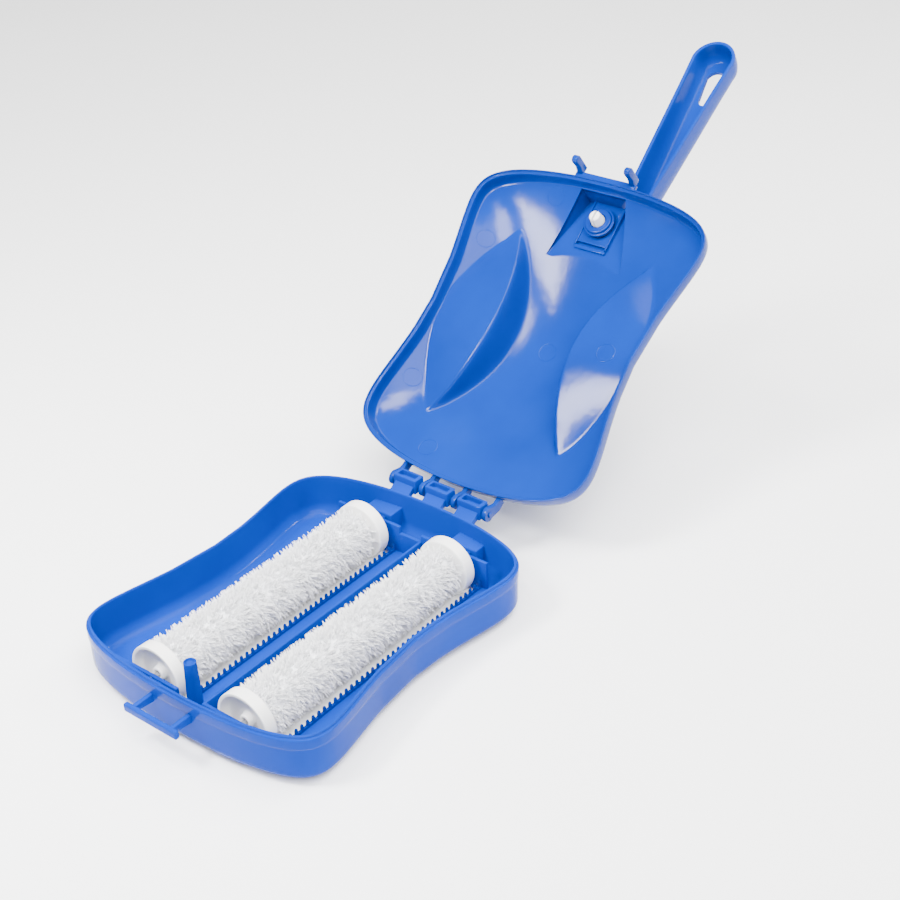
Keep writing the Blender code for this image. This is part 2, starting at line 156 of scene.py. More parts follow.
casing = plastic("casing_gloss_blue", (0.0001, 0.025, 0.24), (0.0003, 0.032, 0.3), 0.15, 0.04, spec=0.5, ior=1.13)
# painted shade: the lid's blue is set darker than the casing's, to offset the stronger light that falls on the lid
lid_shaded_blue_mat = plastic("lid_gloss_blue_painted_shade", (0.0001, 0.02, 0.185), (0.0003, 0.027, 0.235), 0.13, 0.03, spec=0.5, ior=1.24)
handle_mat = plastic("handle_gloss_blue", (0.0001, 0.025, 0.23), (0.0003, 0.032, 0.28), 0.17, 0.04, spec=0.5, ior=1.14)
small_blue = plastic("small_parts_blue", (0.0001, 0.018, 0.18), (0.0003, 0.025, 0.23), 0.18, 0.05, spec=0.2)
white_plastic = plastic("cap_soft_white", (0.86, 0.86, 0.84), (0.9, 0.9, 0.88), 0.34, 0.06, 0.03, sss=0.15)
pin_white = plastic("pin_nylon_white", (0.8, 0.79, 0.79), (0.88, 0.87, 0.87), 0.4, 0.06, 0.06, sss=0.2)


def steel_wire():
    m, t, b = nodes_of("stem_drawn_wire")
    n = noise(t, 900.0, 4.0)
    r = ramp(t, n.outputs["Fac"], [(0.3, (0.42, 0.42, 0.44)), (0.7, (0.62, 0.62, 0.64))])
    link(t, r.outputs["Color"], b.inputs["Base Color"])
    b.inputs["Metallic"].default_value = 1.0
    link(t, to_range(t, n.outputs["Fac"], 0.22, 0.4), b.inputs["Roughness"])
    bump = t.nodes.new("ShaderNodeBump")
    bump.inputs["Strength"].default_value = 0.15
    bump.inputs["Distance"].default_value = 0.0003
    link(t, n.outputs["Fac"], bump.inputs["Height"])
    link(t, bump.outputs["Normal"], b.inputs["Normal"])
    return m


def bristle_nylon(name, root, tip, r0, r1):
    """White nylon, with painted shade that makes it greyer towards the roots, deep between the bristles. The object's
    origin is on the roller's axis.
    """
    m, t, b = nodes_of(name)
    co = t.nodes.new("ShaderNodeTexCoord")
    mul = t.nodes.new("ShaderNodeVectorMath")
    mul.operation = "MULTIPLY"
    mul.inputs[1].default_value = (0, 1, 1)
    link(t, co.outputs["Object"], mul.inputs[0])
    ln = t.nodes.new("ShaderNodeVectorMath")
    ln.operation = "LENGTH"
    link(t, mul.outputs["Vector"], ln.inputs[0])
    mr = t.nodes.new("ShaderNodeMapRange")
    mr.inputs["From Min"].default_value, mr.inputs["From Max"].default_value = r0 * MM, r1 * MM
    link(t, ln.outputs["Value"], mr.inputs["Value"])
    root_shade_ramp = ramp(t, mr.outputs["Result"], [(0.0, root), (1.0, tip)])
    n = noise(t, 500.0, 3.0)
    var = ramp(t, n.outputs["Fac"], [(0.3, (0.9, 0.9, 0.91)), (0.7, (1.0, 1.0, 1.0))])
    mix = t.nodes.new("ShaderNodeMix")
    mix.data_type, mix.blend_type = "RGBA", "MULTIPLY"
    mix.inputs["Factor"].default_value = 1.0
    link(t, root_shade_ramp.outputs["Color"], mix.inputs["A"])
    link(t, var.outputs["Color"], mix.inputs["B"])
    link(t, mix.outputs["Result"], b.inputs["Base Color"])
    link(t, to_range(t, n.outputs["Fac"], 0.35, 0.55), b.inputs["Roughness"])
    fine = noise(t, 3000.0, 2.0)
    bump = t.nodes.new("ShaderNodeBump")
    bump.inputs["Strength"].default_value = 0.2
    bump.inputs["Distance"].default_value = 0.0002
    link(t, fine.outputs["Fac"], bump.inputs["Height"])
    link(t, bump.outputs["Normal"], b.inputs["Normal"])
    return m


steel = steel_wire()
# painted shade: the root colours are a little greyer than the tips, standing for the shade deep in the brush
bristle_mat = bristle_nylon("bristle_nylon_white", (0.93, 0.94, 0.96), (0.98, 0.98, 0.98), 8.4, 11.0)
core_mat = bristle_nylon("bristle_roots_painted_shade", (0.92, 0.93, 0.95), (0.96, 0.96, 0.97), 7.9, 8.7)


# ---- mesh helpers, all in mm ----
def build(name, verts, faces, mat, body, slot, place=None, angle=38, bevel=0.0, origin=None, segments=3):
    v = np.asarray(verts, float)
    if place is not None:
        v = place(v)
    if origin is not None:
        v = v - np.asarray(origin, float)
    me = bpy.data.meshes.new(name)
    me.from_pydata((v * MM).tolist(), [], faces)
    me.validate()
    bm = bmesh.new()
    bm.from_mesh(me)
    bmesh.ops.recalc_face_normals(bm, faces=bm.faces)
    bm.to_mesh(me)
    bm.free()
    ob = bpy.data.objects.new(name, me)
    if origin is not None:
        ob.location = Vector(origin) * MM
    bpy.context.scene.collection.objects.link(ob)
    me.materials.append(mat)
    finish_shade(ob, angle)
    if bevel:
        mod = ob.modifiers.new("edge_rounding", "BEVEL")
        mod.width, mod.segments, mod.limit_method = bevel * MM, segments, "ANGLE"
        mod.angle_limit = math.radians(35)
        mod.use_clamp_overlap = True
        apply_modifiers(ob)
        finish_shade(ob, angle)
    if body:
        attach(ob, body)
    return ob


def finish_shade(ob, angle=38):
    me = ob.data
    me.polygons.foreach_set("use_smooth", [True] * len(me.polygons))
    me.set_sharp_from_angle(angle=math.radians(angle))


def apply_modifiers(ob):
    dg = bpy.context.evaluated_depsgraph_get()
    new = bpy.data.meshes.new_from_object(ob.evaluated_get(dg))
    old = ob.data
    ob.modifiers.clear()
    new.name = old.name
    ob.data = new
    bpy.data.meshes.remove(old)


def cut(ob, piece, how="DIFFERENCE", place=None, solver="EXACT", bevel=0.0):
    v, f = piece
    cutter = build("guide", v, f, casing, None, None, place=place, bevel=bevel)
    mod = ob.modifiers.new("cut", "BOOLEAN")
    mod.operation, mod.object, mod.solver = how, cutter, solver
    apply_modifiers(ob)
    bpy.data.objects.remove(cutter)


def loft(loops, closed_ends=True):
    loops = [np.asarray(l, float) for l in loops]
    n = len(loops[0])
    v = np.vstack(loops)
    i = np.arange(n)
    j = (i + 1) % n
    faces = []
    for k in range(len(loops) - 1):
        a, b = k * n, (k + 1) * n
        faces += np.c_[a + i, a + j, b + j, b + i].tolist()
    if closed_ends:
        faces.append(list(range(n))[::-1])
        faces.append(list(range((len(loops) - 1) * n, len(loops) * n)))
    return v, faces


def prism(poly, axis, lo, hi):
    k = "XYZ".index(axis)
    p = np.asarray(poly, float)
    return loft([np.insert(p, k, h, axis=1) for h in (lo, hi)])


def box(x0, x1, y0, y1, z0, z1):
    return prism([(x0, y0), (x1, y0), (x1, y1), (x0, y1)], "Z", z0, z1)


def rounded(x0, x1, y0, y1, r, n=6):
    out = []
    for cx, cy, s in ((x1 - r, y1 - r, 0), (x0 + r, y1 - r, 90), (x0 + r, y0 + r, 180), (x1 - r, y0 + r, 270)):
        for i in range(n + 1):
            a = math.radians(s + 90 * i / n)
            out.append((cx + r * math.cos(a), cy + r * math.sin(a)))
    return out


def turned(profile, n, axis="X", centre=(0, 0, 0)):
    p = np.asarray(profile, float)
    m = len(p)
    a = np.linspace(0, 2 * np.pi, n, endpoint=False)
    h = np.tile(p[:, 0], n)
    r = np.tile(p[:, 1], n)
    c, s = np.repeat(np.cos(a), m), np.repeat(np.sin(a), m)
    v = {"X": np.c_[h, r * c, r * s], "Y": np.c_[r * s, h, r * c], "Z": np.c_[r * c, r * s, h]}[axis]
    faces = []
    j = np.arange(m)
    k = (j + 1) % m
    for i in range(n):
        a0, b0 = i * m, ((i + 1) % n) * m
        faces += np.c_[a0 + j, a0 + k, b0 + k, b0 + j].tolist()
    return v + np.asarray(centre, float), faces


def stack(levels, n, c):
    a = np.linspace(0, 2 * np.pi, n, endpoint=False)
    return loft([np.c_[c[0] + r * np.cos(a), c[1] + r * np.sin(a), np.full(n, z)] for z, r in levels])


def join(*pieces):
    v, f, off = [], [], 0
    for pv, pf in pieces:
        v.append(np.asarray(pv, float))
        f += [[i + off for i in q] for q in pf]
        off += len(pv)
    return np.vstack(v), f


def fillet(profile, radii, n=5):
    """Rounds the corners of a closed (along, radius) profile."""
    out = []
    m = len(profile)
    for i, r in enumerate(radii):
        p = Vector(profile[i])
        a, b = Vector(profile[i - 1]) - p, Vector(profile[(i + 1) % m]) - p
        if r <= 0:
            out.append(tuple(p))
            continue
        r = min(r, a.length * 0.48, b.length * 0.48)
        p0, p1 = p + a.normalized() * r, p + b.normalized() * r
        for k in range(n + 1):
            t = k / n
            q = p0 * (1 - t) ** 2 + p * 2 * t * (1 - t) + p1 * t**2
            out.append((q.x, q.y))
    return out


# ---- outline and lid heights ----
def half_width(x):
    u = np.clip(np.abs(x) / HALF_L, 0, 1)
    return WAIST_W + SWELL * (1 - np.cos(np.pi * u)) / 2


def outline(n):
    a = np.linspace(0, 2 * np.pi, 6000, endpoint=False)
    c, s = np.cos(a), np.sin(a)
    power = np.where(c > 0, 2 / 8.4, 2 / 11.0)
    x = HALF_L * np.sign(c) * np.abs(c) ** power
    loop = np.c_[x, half_width(x) * s]
    d = np.roll(loop, -1, 0) - loop
    step = np.hypot(*d.T)
    ang = np.arctan2(d[:, 1], d[:, 0])
    bend = np.abs((np.roll(ang, -1) - ang + np.pi) % (2 * np.pi) - np.pi)
    cost = np.r_[0, np.cumsum(step + 14.0 * bend)]
    closed = np.vstack([loop, loop[:1]])
    t = (np.arange(n) + 0.5) / n * cost[-1]
    return np.c_[np.interp(t, cost, closed[:, 0]), np.interp(t, cost, closed[:, 1])]


def inward(loop):
    d = np.roll(loop, -1, 0) - np.roll(loop, 1, 0)
    return np.c_[-d[:, 1], d[:, 0]] / np.hypot(*d.T)[:, None]


def at_z(p, z):
    return np.c_[p, np.full(len(p), z)]


def dome(x, y):
    u = np.clip(np.abs(x) / (HALF_L * 0.96), 0, 1)
    v = np.clip(np.abs(y) / (half_width(x) * 0.97), 0, 1)
    return DOME_EDGE + DOME_RISE * (1 - u**2) * (1 - v**2)


def ease(lo, hi, t):
    t = np.clip(t, 0, 1)
    t = t * t * (3 - 2 * t)
    return lo + (hi - lo) * t


def lid_height(x, y):
    ay = np.abs(y)
    t = dome(x, y)
    p = np.clip(1 - ((x + 0.5) / 48.5) ** 2, 0, 1)
    crest_y = 36 - 14.5 * p
    base_y = crest_y - 4.5 * np.sqrt(p)
    edge_y = 36 + 16 * p
    crest_t = dome(x, crest_y) - 16.4 * p**1.2
    steep = ease(dome(x, base_y), crest_t, (ay - base_y) / np.maximum(crest_y - base_y, 1e-3))
    w = np.clip((ay - crest_y) / np.maximum(edge_y - crest_y, 1e-3), 0, 1)
    slope = crest_t + (dome(x, edge_y) - crest_t) * w**1.3
    inside = (p > 0) & (ay > base_y) & (ay < edge_y)
    t = np.where(inside, np.where(ay < crest_y, steep, slope), t)
    return t


STEP = 0.35
GX, GY = np.arange(-82, 82.01, STEP), np.arange(-70, 70.01, STEP)
field = lid_height(*np.meshgrid(GX, GY, indexing="ij"))


def blur(f, sigma):
    k = np.exp(-0.5 * (np.arange(-4, 5) / sigma) ** 2)
    k /= k.sum()
    g = np.pad(f, 4, mode="edge")
    g = sum(w * g[i : i + f.shape[0], :] for i, w in enumerate(k))
    return sum(w * g[:, i : i + f.shape[1]] for i, w in enumerate(k))


field = blur(field, 1.25)


def height(x, y):
    """Smoothed inner face of the lid above the rim plane."""
    fx = np.clip((np.asarray(x, float) - GX[0]) / STEP, 0, len(GX) - 1.001)
    fy = np.clip((np.asarray(y, float) - GY[0]) / STEP, 0, len(GY) - 1.001)
    i, j = fx.astype(int), fy.astype(int)
    u, v = fx - i, fy - j
    return (
        field[i, j] * (1 - u) * (1 - v) + field[i + 1, j] * u * (1 - v)
        + field[i, j + 1] * (1 - u) * v + field[i + 1, j + 1] * u * v
    )


# ---- tray ----
N_T = 340
RT = outline(N_T)
RT_IN = inward(RT)


def tring(off, z):
    return at_z(RT + RT_IN * off, z)


loops = [tring(0.5 + EDGE_R * (1 - math.sin(a)), EDGE_R * (1 - math.cos(a))) for a in np.radians(np.linspace(0, 90, 10))]
loops += [tring(o, z) for o, z in (
    (0.46, 9.0), (0.42, 14.2), (0.41, 15.0), (0.36, 15.25), (0.16, 15.5), (0.1, 15.75), (0.08, 17.5), (0.03, 19.2), (0.05, 19.6),
    (0.16, 19.82), (0.36, 19.9), (0.78, 19.9), (0.93, 19.96), (1.0, 20.1), (1.0, 20.6), (1.06, 20.82),
    (1.22, 20.96), (1.5, 21.0), (1.8, 20.97), (2.02, 20.86), (2.14, 20.6), (2.2, 20.0), (2.35, 16.0), (2.55, 12.0), (2.8, 8.4))]
loops += [tring(8.9 - 6.1 * math.cos(a), 8.1 - 6.1 * math.sin(a)) for a in np.radians(np.linspace(8, 90, 12))]
tray = build("tray_body", *loft(loops), casing, None, None)
for y in ROLLERS.values():
    cut(tray, prism(rounded(WELL_X[0], WELL_X[1], y - WELL_LO, y + WELL_HI, 0.8), "Z", -2, 8))
finish_shade(tray, 32)
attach(tray, "tray")
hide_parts("tray_shell")


def walled(name, y0, y1, yc, z0, z1, x0, x1, mat, slot):
    """Cross wall with a bore for the axle journal."""
    ob = build(name, *box(x0, x1, y0, y1, z0, z1), mat, None, None, bevel=0.35)
    q = np.linspace(0, 2 * np.pi, 28, endpoint=False)
    cut(ob, loft([np.c_[np.full(28, h), yc + 1.05 * np.cos(q), ROLLER_Z + 1.05 * np.sin(q)] for h in (x0 - 1, x1 + 1)]))
    finish_shade(ob, 32)
    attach(ob, "tray")
    return ob


def end_block(x, y0, y1, top, z0=1.3):
    def wall(y):
        c = math.sqrt(1 - (y / float(half_width(HALF_L))) ** 2)
        return HALF_L * c ** (2 / 8.4) - 1.1 if x > 0 else 1.1 - HALF_L * c ** (2 / 11.0)

    ys = np.linspace(y0, y1, 7)
    return prism([(x, y0), (x, y1)] + [(wall(y), y) for y in ys[::-1]], "Z", z0, top)


for word, y, front, wall in (
    ("left", ROLLERS["left"], (6.8, 41.0), (13.9, 15.1, 7.0)),
    ("right", ROLLERS["right"], (-41.0, -6.5), (17.6, 18.8, FRONT_TOP)),
):
    walled(f"tray_front_wall_{word}", *front, y, 1.1, FRONT_TOP, -67.4, -65.8, casing, "casing_blue")
    walled(f"tray_rear_wall_{word}", y - 16.4, y + 18.2, y, 1.2, REAR_TOP, 60.9, 62.5, casing, "casing_blue")
    build(f"tray_front_block_{word}", *end_block(-71.3, y - 7.9, y + 7.9, FRONT_TOP - 0.2), casing, "tray", "casing_blue",
          bevel=0.4)
    build(f"tray_rear_block_{word}", *end_block(66.3, y - 7.2, y + 7.2, 14.2), casing, "tray", "casing_blue", bevel=0.5)
    build(f"tray_well_wall_{word}", *box(-66.4, 61.6, y + wall[0], y + wall[1], 0.9, wall[2]), casing, "tray",
          "casing_blue", bevel=0.4)
build("tray_cross_ridge", *box(60.9, 62.5, -7.6, 4.6, 1.0, 11.6), casing, "tray", "casing_blue", bevel=0.35)

# locating post, with a dished top
post = turned(fillet([(1.5, 0.01), (1.5, 3.2), (RIM_Z + 6.0, 2.45), (RIM_Z + 6.0, 1.9), (RIM_Z + 5.1, 1.6), (RIM_Z + 5.1, 0.01)],
                     [0, 0.5, 0.35, 0.2, 0.2, 0]), 40, "Z", (PIN_X - 1.6, 0, 0))
build("tray_post", *post, casing, "tray", "casing_blue", angle=50)

# knuckles
KW = 6.15
for i, yc in enumerate((-17.5, 0.0, 17.5)):
    web = [(74.9, 15.3), (82.0, 18.6), (82.0, 22.4), (77.5, 19.4), (74.9, 19.0)]
    build(f"hinge_web_{i + 1}", *prism(web, "Y", yc - KW + 1.1, yc + KW - 1.1), casing, "tray", "casing_blue", bevel=0.3)
    k = build(f"hinge_knuckle_{i + 1}", *box(80.9, 86.9, yc - KW, yc + KW, 17.9, 24.7), casing, None, None, bevel=0.45)
    cut(k, prism(rounded(82.2, 85.6, yc - KW + 1.5, yc + KW - 1.5, 0.5), "Z", 22.5, 26.0))
    a = np.linspace(0, 2 * np.pi, 28, endpoint=False)
    cut(k, loft([np.c_[HINGE_X + 1.65 * np.cos(a), np.full(28, h), HINGE_Z + 1.65 * np.sin(a)] for h in (yc - 8, yc + 8)]))
    finish_shade(k, 32)
    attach(k, "tray")

# latch bracket
for side, word in ((1, "left"), (-1, "right")):
    rib = [(-75.6, 11.4), (-75.6, 15.2), (-85.6, 15.2), (-85.6, 12.6)]
    build(f"latch_rib_{word}", *prism(rib, "Y", side * 10.0 - 0.9, side * 10.0 + 0.9), casing, "tray", "casing_blue", bevel=0.3)
build("latch_bar", *box(-87.0, -84.8, -13.8, 13.8, 12.0, 15.6), casing, "tray", "casing_blue", bevel=0.75, segments=5)

# gate witness mark on the floor
build("tray_gate_mark", *stack([(1.9, 1.5), (2.25, 1.4), (2.35, 1.1)], 24, (20, 0.0)), casing, "tray", "casing_blue")

# ---- lint combs ----
for word, y in ROLLERS.items():
    y1 = y - WELL_LO - 0.15
    y0 = y1 - 1.1
    x0 = WELL_X[0] + 0.7
    bits = [box(x0, x0 + 40 * COMB_PITCH + 1.1, y0, y1, 2.3, 3.2)]
    for i in range(41):
        xa = x0 + i * COMB_PITCH
        bits.append(loft([[(xa + i0, y0 + j0, z) for i0, j0 in ((g, g), (1.1 - g, g), (1.1 - g, 1.1 - g), (g, 1.1 - g))]
                          for z, g in ((3.0, 0.0), (4.7, 0.06), (5.35, 0.16), (5.6, 0.34))]))
    ob = build(f"lint_comb_teeth_{word}", *join(*bits), small_blue, "tray", "comb_blue", angle=25)
    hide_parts(f"lint_comb_{word}")

# ---- bearings ----
for word, y in ROLLERS.items():
    ob = walled(f"front_saddle_{word}", y - 7.0, y + 7.0, y, 5.9, FRONT_TOP - 0.2, -70.9, -67.7, small_blue, "bearing_blue")
    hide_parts(f"bearing_front_{word}")
    ob = walled(f"rear_saddle_{word}", y - 4.6, y + 4.6, y, 2.35, ROLLER_Z + 2.6, 62.8, 66.0, small_blue, "bearing_blue")
    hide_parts(f"bearing_rear_{word}")

# ---- hinge rod ----
rod = turned(fillet([(-27.4, 0.01), (-27.4, ROD_R), (27.4, ROD_R), (27.4, 0.01)], [0, 0.35, 0.35, 0]), 28, "Y",
             (HINGE_X, 0, HINGE_Z))
ob = build("hinge_pin_rod", *rod, small_blue, "tray", "hinge_rod_blue")
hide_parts("hinge_rod")

# ---- rollers ----
LO, HI = CAP_X[0] + CAP_LEN + 0.25, CAP_X[1] - CAP_LEN - 0.25


def wires(word, y):
    """Two wires twisted together."""
    n_s, n_a, r = 420, 10, STEM_R * 0.5
    s = np.linspace(-63.2, 56.4, n_s)
    bits = [turned([(STEM_X[0], 0.01), (STEM_X[0], 0.75), (STEM_X[0] + 0.2, 0.9), (-62.6, 0.9), (-62.6, 0.01)], 24),
            turned([(55.8, 0.01), (55.8, 0.9), (STEM_X[1] - 0.2, 0.9), (STEM_X[1], 0.75), (STEM_X[1], 0.01)], 24)]
    for ph in (0, math.pi):
        th = 2 * math.pi * s / 7.0 + ph
        c = np.c_[s, r * np.cos(th), r * np.sin(th)]
        loops = []
        for k in range(n_s):
            a = np.linspace(0, 2 * np.pi, n_a, endpoint=False)
            loops.append(np.c_[np.full(n_a, c[k, 0]), c[k, 1] + r * 0.99 * np.cos(a), c[k, 2] + r * 0.99 * np.sin(a)])
        bits.append(loft(loops))
    v, f = join(*bits)
    ob = build(f"stem_wires_{word}", v + [0, y, ROLLER_Z], f, steel, f"roller_{word}", "stem_steel", origin=(0, y, ROLLER_Z))
    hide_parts(f"roller_{word}_stem")


def core(word, y, rng):
    """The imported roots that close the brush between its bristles."""
    n_s, n_a = ((260, 96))
    s = np.linspace(LO, HI, n_s)
    a = np.linspace(0, 2 * np.pi, n_a, endpoint=False)
    S, T = np.meshgrid(s, a, indexing="ij")
    row = np.cos(2 * (T - 2 * np.pi * S / 19.0))
    r = 8.2 + 0.2 * row + 0.12 * np.sin(5 * T + S * 1.7) * np.sin(3 * T - S * 2.9) + rng.normal(0, 0.10, S.shape)
    v = np.c_[S.ravel(), (r * np.cos(T)).ravel(), (r * np.sin(T)).ravel()].reshape(n_s, n_a, 3)
    ob = build(f"bristle_roots_{word}", *loft([v[k] + [0, y, ROLLER_Z] for k in range(n_s)]), core_mat, f"roller_{word}",
               "bristle_white", origin=(0, y, ROLLER_Z), angle=180)
    return ob


def bristles(word, y, seed):
    """Tufts set in staggered rings, each seven bristles, with scattered tufts of four longer ones, leaning to and fro
    in a helical wave.
    """
    rng = np.random.default_rng(seed)
    sections, per_tuft = 3, (7)
    edges = np.linspace(LO, HI, sections + 1)
    pitch, ring, around = 19.0, 1.75, 42
    S, T = np.meshgrid(np.arange(LO + 0.9, HI - 0.8, ring), np.arange(around), indexing="ij")
    stagger = 0.5 * (np.arange(S.shape[0]) % 2)[:, None]
    ts = (S + rng.normal(0, 0.42, S.shape)).ravel()
    tt = (2 * np.pi * (T + stagger) / around + rng.normal(0, 0.04, S.shape)).ravel()
    lean_s = 1.4 * np.sin(2 * (tt - 2 * np.pi * ts / pitch)) + rng.normal(0, 0.35, ts.size)
    lean_t = 0.06 + rng.normal(0, 0.03, ts.size)
    reach = 11.5 - 0.9 * rng.random(ts.size) ** 2
    copies = np.full(ts.size, per_tuft)
    drop = np.full(ts.size, 0.45)
    n_long = 1700
    ls, lt = rng.uniform(LO + 0.6, HI - 0.6, n_long), rng.uniform(0, 2 * np.pi, n_long)
    ts, tt = np.r_[ts, ls], np.r_[tt, lt]
    lean_s = np.r_[lean_s, 0.8 * np.sin(2 * (lt - 2 * np.pi * ls / pitch)) + rng.normal(0, 0.45, n_long)]
    lean_t = np.r_[lean_t, 0.05 + rng.normal(0, 0.04, n_long)]
    reach = np.r_[reach, rng.uniform(12.15, 12.6, n_long)]
    copies, drop = np.r_[copies, np.full(n_long, 4)], np.r_[drop, np.full(n_long, 0.12)]
    body = np.r_[np.full(copies.size - n_long, 1.0), np.full(n_long, 0.5)]
    for k in range(sections):
        sel = np.flatnonzero((ts >= edges[k] - (9 if k == 0 else 0)) & (ts < edges[k + 1] + (9 if k == sections - 1 else 0)))
        sel = np.repeat(sel, copies[sel])
        count = len(sel)
        s0 = np.clip(ts[sel] + body[sel] * rng.normal(0, 0.7, count), LO + 0.3, HI - 0.3)
        th = tt[sel] + body[sel] * rng.normal(0, 0.055, count)
        tip_s = np.clip(ts[sel] + lean_s[sel] + body[sel] * rng.normal(0, 0.15, count), LO + 0.2, HI - 0.2)
        tip_t = tt[sel] + lean_t[sel] + rng.normal(0, 0.012, count)
        tip_r = np.clip(reach[sel] - rng.exponential(1.0, count) * drop[sel], 10.2, 12.6)
        n_seg = 3
        r0 = 7.4
        w0, w1 = 0.13, 0.06
        V = []
        bow_s, bow_t = rng.normal(0, 0.28, count), rng.normal(0, 0.022, count)
        turn = rng.uniform(0, 2 * np.pi, count)
        for q in range(n_seg + 1):
            u = q / n_seg
            r = r0 + (tip_r - r0) * u
            s = s0 + (tip_s - s0) * u**1.6 + bow_s * math.sin(math.pi * u)
            t = th + (tip_t - th) * u**1.6 + bow_t * math.sin(math.pi * u)
            w = w0 + (w1 - w0) * u
            for e in range(3):
                g = turn + 2 * np.pi * e / 3
                V.append(np.c_[s + w * np.cos(g), r * np.cos(t) - w * np.sin(g) * np.sin(t),
                               r * np.sin(t) + w * np.sin(g) * np.cos(t)])
        V = np.stack(V, 1)
        per = V.shape[1]
        base = (np.arange(count) * per)[:, None]
        F = []
        for q in range(n_seg):
            for e in range(3):
                a, b = q * 3 + e, q * 3 + (e + 1) % 3
                F.append([a, b, b + 3, a + 3])
        quads = (base[:, :, None] + np.array(F)[None].reshape(1, -1, 4)).reshape(-1, 4)
        caps = (base[:, :, None] + np.array([[2, 1, 0], [n_seg * 3, n_seg * 3 + 1, n_seg * 3 + 2]])[None]).reshape(-1, 3)
        name = f"bristles_{word}_{k + 1}"
        me = bpy.data.meshes.new(name)
        verts = V.reshape(-1, 3) * MM
        loops_n = quads.size + caps.size
        me.vertices.add(len(verts))
        me.vertices.foreach_set("co", verts.ravel())
        me.loops.add(loops_n)
        me.loops.foreach_set("vertex_index", np.r_[quads.ravel(), caps.ravel()])
        me.polygons.add(len(quads) + len(caps))
        start = np.r_[np.arange(len(quads)) * 4, len(quads) * 4 + np.arange(len(caps)) * 3]
        me.polygons.foreach_set("loop_start", start)
        me.update(calc_edges=True)
        me.validate()
        me.materials.append(bristle_mat)
        ob = bpy.data.objects.new(name, me)
        ob.location = Vector((0, y, ROLLER_Z)) * MM
        bpy.context.scene.collection.objects.link(ob)
        me.polygons.foreach_set("use_smooth", [True] * len(me.polygons))
        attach(ob, f"roller_{word}")
    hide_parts(f"roller_{word}_bristles")


def caps(word, y):
    for end, sign, which in ((CAP_X[0], 1, "front"), (CAP_X[1], -1, "rear")):
        r = STEM_R + 0.15
        prof = [(0.0, ROLLER_R - 1.5), (0.0, ROLLER_R - 0.1), (0.5, ROLLER_R), (CAP_LEN - 0.2, ROLLER_R - 0.1),
                (CAP_LEN, ROLLER_R - 0.9), (CAP_LEN, r), (1.2, r), (1.2, r + 1.0), (CAP_LEN - 1.6, r + 1.5),
                (CAP_LEN - 1.5, ROLLER_R - 1.9)]
        rad = [0.35, 0.7, 0.3, 0.5, 0.3, 0.1, 0.2, 0.35, 0.5, 0.9]
        pr = [(end + sign * h, rr) for h, rr in fillet(prof, rad, 4)]
        bits = [turned(pr, 96, "X", (0, y, ROLLER_Z))]
        ob = build(f"end_cap_{which}_{word}", *join(*bits), white_plastic, f"roller_{word}", "cap_white",
                   origin=(0, y, ROLLER_Z), angle=40)
        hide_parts(f"roller_{word}_cap_{which}")


for i, (word, y) in enumerate(ROLLERS.items()):
    rng = np.random.default_rng(40 + i)
    wires(word, y)
    core(word, y, rng)
    bristles(word, y, 7 + i)
    caps(word, y)

# ---- lid ----
N_L = 420
RL = outline(N_L)
RL_IN = inward(RL)


def lring(off, z):
    return at_z(RL + RL_IN * off, z)


def lfield(scale, lift, off):
    p = (RL + RL_IN * off) * scale
    return np.c_[p, BASE + height(p[:, 0], p[:, 1]) + lift]


rings = 98
scales = np.linspace(0.012, 1.0, rings)
loops = [lfield(s, 0.0, 3.1) for s in scales]
edge_in = RL + RL_IN * 3.1
h_in = height(edge_in[:, 0], edge_in[:, 1])
for t in (0.93, 0.8, 0.6, 0.4, 0.2, 0.0):
    p = RL + RL_IN * (2.15 + 0.75 * t**2)
    loops.append(np.c_[p, BASE + 2.4 + (h_in - 2.4) * t])
loops += [lring(o, z) for o, z in (
    (2.0, BASE + 0.8), (1.93, BASE + 0.25), (1.78, BASE + 0.05), (1.6, BASE), (0.85, BASE), (0.7, BASE - 0.08), (0.65, BASE - 0.25),
    (0.65, LEDGE_Z + 0.6), (0.58, LEDGE_Z + 0.42), (0.4, LEDGE_Z + 0.35), (0.22, LEDGE_Z + 0.37), (0.06, LEDGE_Z + 0.5),
    (0.0, LEDGE_Z + 0.75), (0.0, BASE + 2.2))]
edge_out = RL + RL_IN * 2.2
h_out = height(edge_out[:, 0], edge_out[:, 1])
top = BASE + h_out + LID_T - 0.1
for t in np.linspace(0, 1, 9)[1:]:
    a = t * math.pi / 2
    p = RL + RL_IN * (2.2 * (1 - math.cos(a)))
    loops.append(np.c_[p, (BASE + 2.6) + (top - BASE - 2.6) * (math.sin(a) * 0.85 + 0.15 * t)])
loops += [lfield(s, LID_T, 2.2) for s in scales[::-1][1:]]
lid = build("lid_body", *loft(loops), lid_shaded_blue_mat, None, None, place=opened, angle=50)


def pad_half(x):
    return 11.0 + 9.0 * np.clip((x + 77) / 34, 0, 1)


def pad_outline(grow=0.0):
    """Long edges splay towards the hinge; the far end stops short of the lid's end wall."""
    x0, x1, m = -73.6 - grow, -42.6 + grow, 60
    sx = np.linspace(x0, x1, m)
    hw = pad_half(sx) + grow
    n_e = 24
    far = np.linspace(-1, 1, n_e)[1:-1]
    return np.vstack([np.c_[sx, -hw], np.c_[np.full(n_e - 2, x1), far * hw[-1]], np.c_[sx[::-1], hw[::-1]],
                      np.c_[np.full(n_e - 2, x0), -far * hw[0]]])


po = pad_outline()
cut(lid, loft([at_z(po, z) for z in (BASE - 0.5, BASE + 40)]), place=opened)
finish_shade(lid, 50)
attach(lid, "lid")
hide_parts("lid_shell")


def on_lid(name, piece, bevel=0.3, **k):
    return build(name, *piece, k.pop("mat", lid_shaded_blue_mat), "lid", "lid_blue", place=opened, bevel=bevel, **k)


# the handle pad: a flat-bottomed pocket with upright sides, set in the dome
PC = np.array([-60.0, 0.0])


